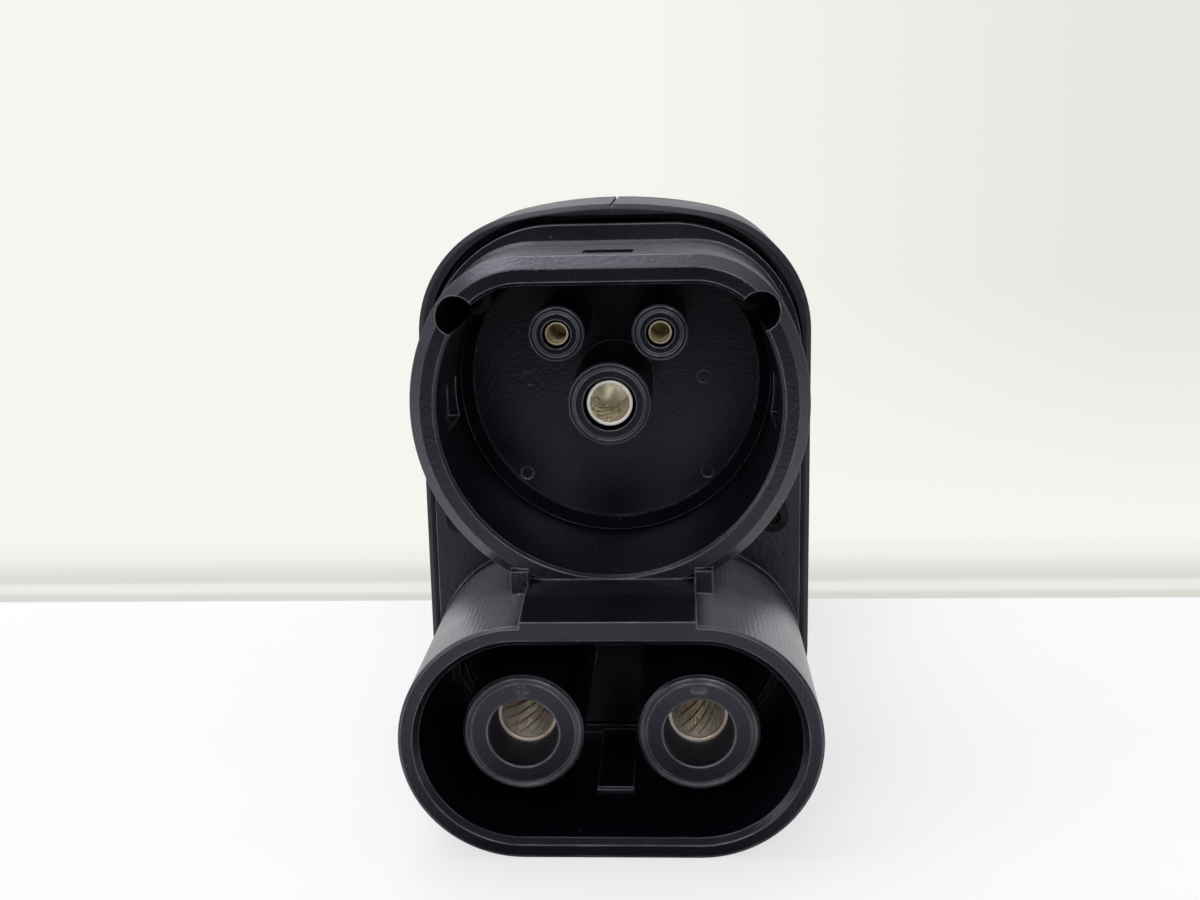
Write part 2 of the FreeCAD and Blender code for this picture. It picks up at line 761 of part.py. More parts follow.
def lower_contact_carrier():
    """The floor of the lower shroud with its two socket towers, slid in from behind."""
    body = new_body("lower_contact_carrier")
    floor_radius = DC_AXIS - S.dcShroudWall - S.dcFloorStep
    plate = front_sketch(body, "lowerPlate", DC_FLOOR)
    stadium(plate, HALF_PITCH, DC_AXIS, floor_radius - S.slideGap)
    pad(body, plate, FLANGE_BACK - DC_FLOOR)
    stop = front_sketch(body, "lowerStop", FLANGE_BACK)
    stadium(stop, HALF_PITCH, DC_AXIS, floor_radius + S.carrierStopWidth)
    pad(body, stop, S.carrierStopThickness)
    towers = front_sketch(body, "lowerTowers", DC_TOWER_FACE + S.dcTowerEdge)
    edges = front_sketch(body, "lowerTowerEdges", DC_TOWER_FACE + S.dcTowerEdge)
    mouths = front_sketch(body, "lowerMouths", DC_TOWER_FACE)
    bores = front_sketch(body, "lowerBores", DC_TOWER_FACE + S.dcMouthDepth)
    for side in (-1, 1):
        disc(towers, HALF_PITCH * side, DC_AXIS, S.dcTowerWidth / 2)
        disc(edges, HALF_PITCH * side, DC_AXIS, S.dcTowerWidth / 2)
        disc(mouths, HALF_PITCH * side, DC_AXIS, S.dcTowerMouth / 2)
        disc(bores, HALF_PITCH * side, DC_AXIS, S.dcContactWidth / 2 + S.slideGap)
    pad(body, towers, DC_FLOOR - DC_TOWER_FACE - S.dcTowerEdge)
    tapered_pad(body, edges, S.dcTowerEdge)
    funnel = pocket(body, mouths, S.dcMouthDepth)
    slope = lean((S.dcTowerMouth - S.dcTowerThroat) / 2, S.dcMouthDepth)
    funnel.TaperAngle = slope.value
    bind(funnel, "TaperAngle", slope)
    pocket(body, bores)
    rings = front_sketch(body, "lowerFaceRings", DC_TOWER_FACE)
    for side in (-1, 1):
        face_ring(rings, HALF_PITCH * side, DC_AXIS, S.dcTowerWidth)
    pocket(body, rings, S.faceRingDepth)
    signs = front_sketch(body, "poleSigns", DC_TOWER_FACE)
    long, thin = S.signWidth / 2, S.signStroke / 2
    height = DC_AXIS + S.signRise
    polygon(signs, [
        (x - HALF_PITCH, height + z)
        for x, z in (
            (-long, -thin), (-thin, -thin), (-thin, -long), (thin, -long), (thin, -thin), (long, -thin),
            (long, thin), (thin, thin), (thin, long), (-thin, long), (-thin, thin), (-long, thin),
        )
    ])
    box_outline(signs, HALF_PITCH - long, HALF_PITCH + long, height - thin, height + thin)
    pocket(body, signs, S.signDepth)
    return body


def socket_contact(name, width, bore, wall, mouth, crown, back, tail, x, z):
    """A turned socket: a lip at the mouth, room for its spring, a collar and a tail."""
    outer = width / 2
    lip = bore / 2
    room = lip + wall
    crown_start = mouth + S.crownLip
    crown_end = crown_start + crown
    collar = outer + S.contactCollar
    tail_start = back + S.contactCollarThickness
    return turned(name, [
        (lip, mouth),
        (outer, mouth),
        (outer, back),
        (collar, back),
        (collar, tail_start),
        (tail / 2, tail_start),
        (tail / 2, tail_start + S.tailLength),
        (ZERO, tail_start + S.tailLength),
        (ZERO, crown_end + S.crownLip),
        (lip, crown_end + S.crownLip),
        (lip, crown_end),
        (room, crown_end),
        (room, crown_start),
        (lip, crown_start),
    ], x, z)


def contact_list():
    """Name, width, bore, spring wall, mouth, spring length, seat, tail width and axis of each socket."""
    pe_mouth = AC_TOWER_FACE + S.peRecess
    signal_mouth = AC_TOWER_FACE + S.signalRecess
    dc_mouth = DC_TOWER_FACE + S.dcMouthDepth
    pe = ("pe", S.peContactWidth, S.peContactBore, S.peCrownWall, pe_mouth, S.peCrownLength,
          AC_BACK, S.peTailWidth, ZERO, AC_AXIS)
    rows = [pe]
    for name, side in (("cp", -1), ("pp", 1)):
        rows.append((name, S.signalContactWidth, S.signalContactBore, S.signalCrownWall, signal_mouth,
                     S.signalCrownLength, AC_BACK, S.signalTailWidth, S.signalSide * side, SIGNAL_AXIS))
    for name, side in (("dc_plus", -1), ("dc_minus", 1)):
        rows.append((name, S.dcContactWidth, S.dcContactBore, S.dcCrownWall, dc_mouth,
                     S.dcCrownLength, DC_BACK, S.contactTailWidth, HALF_PITCH * side, DC_AXIS))
    return rows


def crown_spring(name, bore, wall, mouth, length, count, x, z):
    """A sleeve of slanted strips between two rings, narrowed at its waist to grip the pin."""
    start = mouth + S.crownLip
    end = start + length
    outer = bore / 2 + wall - S.crownFit
    inner = outer - wall * S.crownStripShare
    waist = wall * S.crownWaist
    quarter = length / 4
    body = turned(name, [
        (inner, start),
        (outer, start),
        (outer, start + S.crownRing),
        (outer - waist, start + quarter),
        (outer - waist * 2, start + quarter * 2),
        (outer - waist, end - quarter),
        (outer, end - S.crownRing),
        (outer, end),
        (inner, end),
        (inner, end - S.crownRing),
        (inner - waist, end - quarter),
        (inner - waist * 2, start + quarter * 2),
        (inner - waist, start + quarter),
        (inner, start + S.crownRing),
    ], x, z)
    slit = sketch(body, name + "Slit", "XY_Plane")
    slant = length * S.crownSlant
    half = outer * S.crownSlit
    low = start + S.crownRing
    high = end - S.crownRing
    polygon(slit, [
        (slant / 2 - half, low),
        (half + slant / 2, low),
        (half - slant / 2, high),
        (-(slant / 2) - half, high),
    ])
    cut = body.newObject("PartDesign::Pocket", name + "SlitCut")
    cut.Profile = slit
    cut.Length = (outer * 2).value
    bind(cut, "Length", outer * 2)
    cut.Reversed = True
    pattern = body.newObject("PartDesign::PolarPattern", name + "Strips")
    pattern.Originals = [cut]
    pattern.Axis = (slit, ["V_Axis"])
    pattern.Angle = 360
    pattern.Occurrences = count
    body.Tip = pattern
    return body


def blend(start, end, share):
    """A size part of the way from one to another."""
    return start + (end - start) * share


def handle_section(item, share, front, inset):
    """The handle's outline between its waist (share 0) and one of its collars (share 1)."""
    if front:
        half, base, top, crown = S.shellHalfWidth, ZERO, AC_AXIS + S.shellTopRise, S.shellCrown
        high_corner, low_corner = S.shellTopCorner, S.shellBottomCorner
    else:
        half, base, top, crown = S.rearHalfWidth, ZERO, S.rearTop, S.rearCrown
        high_corner, low_corner = S.rearTopCorner, S.rearBottomCorner
    half = blend(S.waistHalfWidth, half, share)
    base = blend(S.waistBottom, base, share)
    top = blend(S.waistTop, top, share)
    high = blend(S.waistCorner, high_corner, share)
    low = blend(S.waistCorner, low_corner, share)
    side = half - high
    rise = top - crown - high
    crown_radius = (side * side + crown * crown) / (crown * 2) + high
    hull(item, [
        (-(half - low), base + low, low - inset),
        (half - low, base + low, low - inset),
        (side, rise, high - inset),
        (ZERO, top - crown_radius, crown_radius - inset),
        (-side, rise, high - inset),
    ])


COLLAR_END = FLANGE + S.collarLength
REAR_START = REAR_JOINT - S.rearCollarLength
GRIP_LENGTH = REAR_START - COLLAR_END
TAPER_LENGTH = GRIP_LENGTH * S.taperShare
WAIST_LENGTH = GRIP_LENGTH * S.waistShare
WAIST_START = COLLAR_END + TAPER_LENGTH
WAIST_END = WAIST_START + WAIST_LENGTH
BLENDS = (1.0, 0.86, 0.5, 0.14, 0.0)


def handle_sections(body, name, inset):
    """Sections from the front collar's end to the rear collar's start."""
    steps = len(BLENDS) - 1
    sections = []
    for index, share in enumerate(BLENDS):
        y = COLLAR_END + TAPER_LENGTH * (index / steps)
        item = front_sketch(body, f"{name}Front{index}", y)
        handle_section(item, share, True, inset)
        sections.append(item)
    for index, share in enumerate(reversed(BLENDS)):
        y = WAIST_END + (REAR_START - WAIST_END) * (index / steps)
        item = front_sketch(body, f"{name}Rear{index}", y)
        handle_section(item, share, False, inset)
        sections.append(item)
    return sections


def loft(body, sections, kind, name):
    item = body.newObject(kind, name)
    item.Profile = sections[0]
    item.Sections = sections[1:]
    return item


def handle_outer():
    """The outer form of the clamshell: front collar, waisted grip, rear collar."""
    body = new_body("handle_outer")
    collar = front_sketch(body, "collar", FLANGE + S.shellLipChamfer)
    handle_section(collar, 1.0, True, ZERO)
    pad(body, collar, S.collarLength - S.shellLipChamfer)
    lip = front_sketch(body, "collarLip", FLANGE + S.shellLipChamfer)
    handle_section(lip, 1.0, True, ZERO)
    tapered_pad(body, lip, S.shellLipChamfer)
    loft(body, handle_sections(body, "outer", ZERO), "PartDesign::AdditiveLoft", "outerLoft")
    rear = front_sketch(body, "rearCollar", REAR_START)
    handle_section(rear, 1.0, False, ZERO)
    pad(body, rear, S.rearCollarLength)
    return body


def handle_inside(name, inset):
    """The handle's form, this much smaller all round."""
    body = new_body(name)
    front = front_sketch(body, name + "Front", FLANGE)
    handle_section(front, 1.0, True, inset)
    pad(body, front, S.collarLength)
    loft(body, handle_sections(body, name, inset), "PartDesign::AdditiveLoft", name + "Loft")
    rear = front_sketch(body, name + "Rear", REAR_START)
    handle_section(rear, 1.0, False, inset)
    pad(body, rear, S.rearCollarLength)
    return body


def handle_room():
    """The hollow of the clamshell with the rebate for the flange."""
    body = handle_inside("handle_room", S.shellWall)
    mouth = front_sketch(body, "mouth", FLANGE)
    flange_outline(mouth, -S.mouthGap, S.mouthRise)
    pad(body, mouth, SHOULDER - FLANGE)
    return body


def rod(name, radius, length, x, y, z, along):
    """A cylinder that starts at a spot and runs along X or Y."""
    item = doc.addObject("Part::Cylinder", name)
    item.Radius = radius.value
    item.Height = length.value
    bind(item, "Radius", radius)
    bind(item, "Height", length)
    place(item, x, y, z)
    turn = Rotation(Vector(0, 1, 0), 90) if along == "X" else Rotation(Vector(1, 0, 0), -90)
    item.Placement = Placement(item.Placement.Base, turn)
    return item


def block(name, x, y, z, width, length, height):
    """A box from its lowest corner."""
    item = doc.addObject("Part::Box", name)
    for key, size in (("Length", width), ("Width", length), ("Height", height)):
        setattr(item, key, size.value)
        bind(item, key, size)
    return place(item, x, y, z)


def join(name, items):
    item = doc.addObject("Part::MultiFuse", name)
    item.Shapes = items
    return item


def cut(name, base, tool):
    item = doc.addObject("Part::Cut", name)
    item.Base = base
    item.Tool = tool
    return item


def common(name, base, tool):
    item = doc.addObject("Part::Common", name)
    item.Base = base
    item.Tool = tool
    return item


def group(name, items):
    """Like pieces that share one node as separate solids."""
    item = doc.addObject("Part::Compound", name)
    item.Links = items
    return item


SEAM_SCREWS = [
    (y, z)
    for y in (WAIST_START, WAIST_END)
    for z in (S.seamScrewLow, S.seamScrewHigh)
]
BOARD_TOP = S.boardBottom + S.boardThickness
SIGNAL_END = AC_BACK + S.contactCollarThickness + S.tailLength
BOARD_START = SIGNAL_END + S.boardLead
BOARD_LENGTH = REAR_TAIL_START - S.boardGap - BOARD_START


def boss_starts():
    """Each flange screw's axis with the depth at which its boss starts."""
    high, low = AC_BACK + S.slideGap, SHOULDER
    return [(x, z, start) for (x, z), start in zip(screw_places(), (high, high, low, low))]


def handle_halves():
    """The clamshell with its bosses and rails, parted along the middle."""
    outer = handle_outer()
    bosses = []
    for index, (x, z, start) in enumerate(boss_starts(), start=1):
        bosses.append(rod(f"flangeBoss{index}", S.bossWidth / 2, S.bossLength, x, start, z, "Y"))
        web_start = x if x.value > 0 else x - S.bossWebLength
        bosses.append(block(f"flangeWeb{index}", web_start, start, z - S.bossWebThickness / 2,
                            S.bossWebLength, S.bossLength, S.bossWebThickness))
    wide = S.shellHalfWidth * 2
    for index, (y, z) in enumerate(SEAM_SCREWS, start=1):
        bosses.append(rod(f"seamBoss{index}", S.bossWidth / 2, wide, -S.shellHalfWidth, y, z, "X"))
    for index, side in enumerate((-1, 1), start=1):
        rail_left = S.boardWidth / 2 - S.railWidth / 2 if side > 0 else -(S.waistHalfWidth)
        reach = S.waistHalfWidth - S.boardWidth / 2 + S.railWidth / 2
        for level, z in (("Low", S.boardBottom - S.railHeight), ("High", BOARD_TOP)):
            bosses.append(block(f"rail{level}{index}", rail_left, BOARD_START, z, reach, BOARD_LENGTH, S.railHeight))
    inside = common("bossesInside", outer, join("bosses", bosses))
    walls = cut("handleWalls", outer, handle_room())
    whole = join("handleWhole", [walls, inside])
    holes = []
    for index, (x, z, start) in enumerate(boss_starts(), start=1):
        holes.append(rod(f"flangePilot{index}", S.screwWidth / 2, S.bossLength, x, start, z, "Y"))
    for index, (y, z) in enumerate(SEAM_SCREWS, start=1):
        start = S.seamScrewSeat - S.seamScrewLength
        holes.append(rod(f"seamHole{index}", S.screwWidth / 2, S.seamScrewLength + wide, start, y, z, "X"))
        holes.append(rod(f"seamSink{index}", S.screwHeadWidth / 2 + S.slideGap, wide, S.seamScrewSeat, y, z, "X"))
    slab = block("seamSlab", -S.seamGrooveWidth / 2, -S.overallLength, -S.overallLength,
                 S.seamGrooveWidth, S.overallLength * 2, S.overallLength * 2)
    holes.append(cut("seamGroove", slab, handle_inside("seam_core", S.seamGrooveDepth)))
    drilled = cut("handleDrilled", whole, join("handleHoles", holes))
    halves = []
    for name, left in (("left_shell", -S.overallLength), ("right_shell", ZERO)):
        half = block(name + "_side", left, -S.overallLength, -S.overallLength,
                     S.overallLength, S.overallLength * 2, S.overallLength * 2)
        halves.append(common(name, drilled, half))
    return halves


def screw(name, x, y, z, length, along):
    """A cap screw whose head seats at the spot and whose shank runs on from it."""
    head_back = S.screwHeadHeight
    if along == "Y":
        head = rod(name + "Head", S.screwHeadWidth / 2, head_back, x, y - head_back, z, along)
        socket = rod(name + "Socket", S.screwSocketWidth / 2, S.screwSocketDepth, x, y - head_back, z, along)
        shank = rod(name + "Shank", S.screwWidth / 2, length, x, y, z, along)
    else:
        head = rod(name + "Head", S.screwHeadWidth / 2, head_back, x, y, z, along)
        socket = rod(name + "Socket", S.screwSocketWidth / 2, S.screwSocketDepth,
                     x + head_back - S.screwSocketDepth, y, z, along)
        shank = rod(name + "Shank", S.screwWidth / 2, length, x - length, y, z, along)
    return cut(name, join(name + "Blank", [head, shank]), socket)


def flange_screws():
    high_seat = AC_FACE + S.driverChannelDepth
    items = []
    for index, (x, z) in enumerate(screw_places(), start=1):
        seat, length = (high_seat, S.highScrewLength) if index < 3 else (FLANGE, S.lowScrewLength)
        items.append(screw(f"flangeScrew{index}", x, seat, z, length, "Y"))
    return group("flange_screws", items)


def shell_screws():
    items = []
    for index, (y, z) in enumerate(SEAM_SCREWS, start=1):
        items.append(screw(f"shellScrew{index}", S.seamScrewSeat, y, z, S.seamScrewLength, "X"))
    return group("shell_screws", items)


def front_gasket():
    body = new_body("front_gasket")
    ring = front_sketch(body, "gasketRing", FLANGE_BACK)
    flange_outline(ring, S.gasketInset)
    flange_outline(ring, S.gasketInset + S.gasketWidth)
    pad(body, ring, S.gasketThickness)
    return body


def rear_outline(item, inset):
    handle_section(item, 1.0, False, inset)


def rear_inlet_body():
    """The rear moulding: a round recess above, a stadium recess below, and a latch catch."""
    body = new_body("rear_inlet_body")
    block_start = REAR_JOINT + S.rearGasketThickness
    outline = front_sketch(body, "rearBlock", block_start)
    rear_outline(outline, ZERO)
    pad(body, outline, BACK - block_start)
    spigot = front_sketch(body, "rearSpigot", REAR_JOINT - S.rearSpigotLength)
    rear_outline(spigot, S.shellWall + S.slideGap)
    pad(body, spigot, block_start - REAR_JOINT + S.rearSpigotLength)
    catch = sketch(body, "latchCatch", "YZ_Plane", -S.catchWidth / 2)
    catch_back = BACK - S.catchSetback
    polygon(catch, [
        (catch_back - S.catchLength, S.rearTop - S.catchRise),
        (catch_back, S.rearTop - S.catchRise),
        (catch_back, S.rearTop + S.catchRise),
        (catch_back - S.catchCrest, S.rearTop + S.catchRise),
        (catch_back - S.catchLength, S.rearTop - S.rearCrown),
    ])
    pad(body, catch, S.catchWidth, towards_front=True)
    upper = front_sketch(body, "rearUpperRecess", BACK - S.rearAcDepth)
    disc(upper, ZERO, REAR_AC_AXIS, S.rearAcRadius)
    pocket(body, upper)
    lower = front_sketch(body, "rearLowerRecess", BACK - S.rearDcDepth)
    stadium(lower, HALF_PITCH, REAR_DC_AXIS, S.rearDcRadius)
    last = pocket(body, lower)
    last = chamfer(body, last, S.rearRimChamfer, lambda box: at_depth(box, BACK)
                   and (abs(box.XMax) < S.rearAcRadius.value + 0.01 and box.ZMin > REAR_AC_AXIS.value
                        - S.rearAcRadius.value - 0.01 and box.ZMax < REAR_AC_AXIS.value + S.rearAcRadius.value + 0.01))
    bores = front_sketch(body, "rearPinBores", REAR_JOINT - S.rearSpigotLength)
    for side in (-1, 1):
        disc(bores, HALF_PITCH * side, REAR_DC_AXIS, S.rearPinBase / 2)
        disc(bores, S.rearSignalSide * side, REAR_AC_AXIS - S.rearSignalDrop, S.rearSignalBase / 2)
    disc(bores, ZERO, REAR_AC_AXIS - S.rearPeDrop, S.rearPeBase / 2)
    pocket(body, bores)
    room = front_sketch(body, "rearSpigotRoom", REAR_JOINT - S.rearSpigotLength)
    rear_outline(room, S.shellWall + S.slideGap + S.rearSpigotWall)
    pocket(body, room, S.rearSpigotLength)
    return body


def rear_contact_core():
    """The round core in the upper recess, with a deep hole for each pin and two blank holes."""
    body = new_body("rear_contact_core")
    start = BACK - S.rearAcDepth
    length = S.rearAcDepth - S.rearCoreRecess
    core = front_sketch(body, "rearCore", start)
    disc(core, ZERO, REAR_AC_AXIS, S.rearAcCoreRadius)
    pad(body, core, length)
    tight = front_sketch(body, "rearCoreBores", start)
    wells = front_sketch(body, "rearCoreWells", start + S.rearFloor)
    for side in (-1, 1):
        disc(tight, S.rearSignalSide * side, REAR_AC_AXIS - S.rearSignalDrop, S.rearSignalPinWidth / 2)
        disc(wells, S.rearSignalSide * side, REAR_AC_AXIS - S.rearSignalDrop, S.rearSignalHole / 2)
    disc(tight, ZERO, REAR_AC_AXIS - S.rearPeDrop, S.rearPePinWidth / 2)
    disc(wells, ZERO, REAR_AC_AXIS - S.rearPeDrop, S.rearPeHole / 2)
    pocket(body, tight)
    pocket(body, wells)
    blanks = front_sketch(body, "rearCoreBlanks", start + length - S.rearBlankDepth)
    for side in (-1, 1):
        disc(blanks, S.rearLineSide * side, REAR_AC_AXIS + S.rearLineRise, S.rearBlankHole / 2)
    pocket(body, blanks)
    return body


def rear_pin(name, width, base, tip, tail, x, z):
    """A turned pin with a rounded tip, a base in the inlet's floor and a tail inside."""
    radius = width / 2
    base_start = REAR_JOINT - S.contactCollarThickness / 2
    base_end = BACK - S.rearAcDepth
    end = BACK - S.rearPinRecess
    body = new_body(name)
    profile = sketch(body, name + "Outline", "XY_Plane")
    polygon(profile, [
        (ZERO, base_start - S.tailLength),
        (tail, base_start - S.tailLength),
        (tail, base_start),
        (base / 2, base_start),
        (base / 2, base_end),
        (radius, base_end),
        (radius, end - tip),
        (radius * 0.87, end - tip / 2),
        (radius * 0.5, end - tip * 0.13),
        (ZERO, end),
    ])
    item = body.newObject("PartDesign::Revolution", name + "Turn")
    item.Profile = profile
    item.ReferenceAxis = (profile, ["V_Axis"])
    item.Angle = 360
    return place(body, x, ZERO, z)




def retainer(name, outline, places, back):
    """A plate behind a carrier that clips over the sockets' collars."""
    body = new_body(name)
    plate = front_sketch(body, name + "Plate", back)
    outline(plate)
    pad(body, plate, S.contactCollarThickness + S.retainerCover)
    seats = front_sketch(body, name + "Seats", back)
    tails = front_sketch(body, name + "Tails", back)
    for x, z, width, tail in places:
        disc(seats, x, z, width / 2 + S.contactCollar + S.slideGap)
        disc(tails, x, z, tail / 2 + S.slideGap)
    pocket(body, seats, S.contactCollarThickness)
    pocket(body, tails)
    return body


def upper_retainer():
    places = [(ZERO, AC_AXIS, S.peContactWidth, S.peTailWidth)]
    for side in (-1, 1):
        places.append((S.signalSide * side, SIGNAL_AXIS, S.signalContactWidth, S.signalTailWidth))

    def outline(item):
        rim = S.retainerRim + S.contactCollar
        hull(item, [
            (ZERO, AC_AXIS, S.peContactWidth / 2 + rim),
            (S.signalSide, SIGNAL_AXIS, S.signalContactWidth / 2 + rim),
            (-S.signalSide, SIGNAL_AXIS, S.signalContactWidth / 2 + rim),
        ])

    return retainer("upper_contact_retainer", outline, places, AC_BACK)


def lower_retainer():
    places = [(HALF_PITCH * side, DC_AXIS, S.dcContactWidth, S.contactTailWidth) for side in (-1, 1)]

    def outline(item):
        stadium(item, HALF_PITCH, DC_AXIS, S.dcContactWidth / 2 + S.contactCollar + S.retainerRim)

    return retainer("lower_contact_retainer", outline, places, DC_BACK)


def bent_bar(name, side, front_y, front_z, rear_y, rear_z):
    """A flat bar with a step in its middle and a round clamp sleeve at each end."""
    body = new_body(name)
    half = S.busbarThickness / 2
    middle = (front_y + rear_y) / 2
    step = S.busbarStep / 2
    x = HALF_PITCH * side
    bar = sketch(body, name + "Bar", "YZ_Plane", x - S.busbarWidth / 2)
    polygon(bar, [
        (front_y, front_z - half),
        (middle - step, front_z - half),
        (middle + step, rear_z - half),
        (rear_y, rear_z - half),
        (rear_y, rear_z + half),
        (middle + step, rear_z + half),
        (middle - step, front_z + half),
        (front_y, front_z + half),
    ])
    pad(body, bar, S.busbarWidth, towards_front=True)
    sleeves = front_sketch(body, name + "FrontSleeve", front_y)
    disc(sleeves, x, front_z, S.sleeveWidth / 2)
    pad(body, sleeves, S.tailLength)
    rear_sleeve = front_sketch(body, name + "RearSleeve", rear_y - S.tailLength)
    disc(rear_sleeve, x, rear_z, S.sleeveWidth / 2)
    pad(body, rear_sleeve, S.tailLength)
    front_bore = front_sketch(body, name + "FrontBore", front_y)
    disc(front_bore, x, front_z, S.contactTailWidth / 2)
    pocket(body, front_bore, S.tailLength)
    rear_bore = front_sketch(body, name + "RearBore", rear_y - S.tailLength)
    disc(rear_bore, x, rear_z, S.rearTail)
    pocket(body, rear_bore, S.tailLength)
    return body


def bent_wire(name, points, x, width):
    """A round wire along straight runs from spot to spot, each end square to the contacts."""
    body = new_body(name)
    path = sketch(body, name + "Path", "YZ_Plane", x)
    first = None
    for (y1, z1), (y2, z2) in zip(points, points[1:]):
        start = Vector(as_size(y1).value, as_size(z1).value, 0)
        end = Vector(as_size(y2).value, as_size(z2).value, 0)
        index = path.addGeometry(Part.LineSegment(start, end), False)
        if first is not None:
            path.addConstraint(Sketcher.Constraint("Coincident", first, 2, index, 1))
        hold_point(path, index, 1 if first is None else 2, y1 if first is None else y2, z1 if first is None else z2)
        if first is None:
            hold_point(path, index, 2, y2, z2)
        first = index
    ring = front_sketch(body, name + "Section", points[0][0])
    disc(ring, x, points[0][1], width / 2)
    item = body.newObject("PartDesign::AdditivePipe", name + "Pipe")
    item.Profile = ring
    item.Spine = (path, [])
    item.Transition = "Right corner"
    return body


def signal_board():
    """The small circuit board that links the signal contacts, held in rails."""
    body = new_body("signal_board")
    outline = sketch(body, "boardOutline", "XY_Plane", S.boardBottom)
    half = S.boardWidth / 2
    box_outline(outline, -half, half, BOARD_START, BOARD_START + BOARD_LENGTH)
    pad(body, outline, S.boardThickness, towards_front=True)
    return body


def board_resistors():
    items = []
    for index in range(3):
        x = S.resistorPitch * (index - 1)
        start = BOARD_START + BOARD_LENGTH / 2 - S.resistorLength / 2
        item = rod(f"resistor{index + 1}", S.resistorWidth / 2, S.resistorLength,
                   x, start, BOARD_TOP + S.resistorWidth / 2, "Y")
        items.append(item)
    return group("board_resistors", items)


def rear_gasket():
    body = new_body("rear_gasket")
    ring = front_sketch(body, "rearGasketRing", REAR_JOINT)
    rear_outline(ring, S.gasketInset)
    rear_outline(ring, S.shellWall)
    pad(body, ring, S.rearGasketThickness)
    return body


def signal_wires(name, side):
    """The two short wires of one signal: from its socket to the board and on to its pin."""
    radius = S.wireWidth / 2
    front = bent_wire(f"{name}_front_wire", [
        (SIGNAL_END, SIGNAL_AXIS),
        (SIGNAL_END + S.wireLead, SIGNAL_AXIS),
        (BOARD_START + S.wireLead / 2, BOARD_TOP + radius),
        (BOARD_START + S.wireLead * 1.5, BOARD_TOP + radius),
    ], S.signalSide * side, S.wireWidth)
    rear_z = REAR_AC_AXIS - S.rearSignalDrop
    board_end = BOARD_START + BOARD_LENGTH
    rear = bent_wire(f"{name}_rear_wire", [
        (board_end - S.wireLead * 2, S.boardBottom - radius),
        (board_end - S.wireLead, S.boardBottom - radius),
        (REAR_TAIL_START - S.wireLead / 2, rear_z),
        (REAR_TAIL_START, rear_z),
    ], S.rearSignalSide * side, S.wireWidth)
    return [front, rear]


def build():
    keep(front_connector_body(), "front_connector_body")
    keep(upper_contact_carrier(), "upper_contact_carrier")
    keep(lower_contact_carrier(), "lower_contact_carrier")
    for name, width, bore, wall, mouth, crown, back, tail, x, z in contact_list():
        socket = socket_contact(name + "_socket", width, bore, wall, mouth, crown, back, tail, x, z)
        keep(socket, name + "_socket")
        keep(crown_spring(name + "_spring", bore, wall, mouth, crown, CROWN_STRIPS, x, z), name + "_spring")
    keep(upper_retainer(), "upper_contact_retainer")
    keep(lower_retainer(), "lower_contact_retainer")
    keep(front_gasket(), "front_gasket")
    keep(flange_screws(), "flange_screws")
    for half in handle_halves():
        keep(half, half.Name)
    keep(shell_screws(), "shell_screws")
    keep(rear_gasket(), "rear_gasket")
    keep(rear_inlet_body(), "rear_inlet_body")
    keep(rear_contact_core(), "rear_contact_core")
    bar_front = DC_BACK + S.contactCollarThickness + S.retainerCover
    for name, side in (("plus", -1), ("minus", 1)):
        pin = rear_pin(f"rear_dc_{name}_pin", S.rearPinWidth, S.rearPinBase, S.rearPinTip,
                       S.rearTail, HALF_PITCH * side, REAR_DC_AXIS)
        keep(pin, f"rear_dc_{name}_pin")
        bar = bent_bar(f"dc_{name}_busbar", side, bar_front, DC_AXIS, REAR_TAIL_START + S.tailLength, REAR_DC_AXIS)
        keep(bar, f"dc_{name}_busbar")
    pe_z = REAR_AC_AXIS - S.rearPeDrop
    pe_tail = S.rearPePinWidth / 2
    keep(rear_pin("rear_pe_pin", S.rearPePinWidth, S.rearPeBase, S.rearPePinWidth, pe_tail, ZERO, pe_z), "rear_pe_pin")
    for name, side in (("cp", -1), ("pp", 1)):
        pin = rear_pin(f"rear_{name}_pin", S.rearSignalPinWidth, S.rearSignalBase, S.rearSignalPinWidth,
                       S.rearSignalPinWidth / 2, S.rearSignalSide * side, REAR_AC_AXIS - S.rearSignalDrop)
        keep(pin, f"rear_{name}_pin")
        for wire in signal_wires(name, side):
            keep(wire, wire.Name)
    keep(bent_wire("pe_conductor", [
        (SIGNAL_END, AC_AXIS),
        (SIGNAL_END + S.wireLead, AC_AXIS),
        (REAR_TAIL_START - S.wireLead, pe_z),
        (REAR_TAIL_START, pe_z),
    ], ZERO, S.peWireWidth), "pe_conductor")
    keep(signal_board(), "signal_board")
    keep(board_resistors(), "board_resistors")


def check_and_write():
    """Stops on any failed object or empty shape, then writes one file for each sub-part."""
    doc.recompute()
    for item in doc.Objects:
        if "Invalid" in item.State or "Error" in item.State:
            raise RuntimeError(f"{item.Name} failed: {item.State}")
    os.makedirs("parts", exist_ok=True)
    for item in NODES:
        shape = item.Shape
        if shape.isNull() or not shape.isValid() or not shape.Solids:
            raise RuntimeError(f"{item.Label} has no valid solid")
        shape.exportStep(f"parts/{item.Label}.step")
        print(item.Label, len(shape.Solids), round(shape.Volume, 1))


build()
check_and_write()
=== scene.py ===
import math

import bmesh
import bpy
from mathutils import Matrix, Vector

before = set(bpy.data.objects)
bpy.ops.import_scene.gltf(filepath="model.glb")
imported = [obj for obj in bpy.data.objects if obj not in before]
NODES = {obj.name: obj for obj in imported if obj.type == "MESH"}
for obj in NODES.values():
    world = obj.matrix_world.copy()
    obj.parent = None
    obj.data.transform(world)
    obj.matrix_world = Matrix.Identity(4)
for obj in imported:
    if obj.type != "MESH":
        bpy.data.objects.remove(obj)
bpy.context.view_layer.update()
MM = 0.001

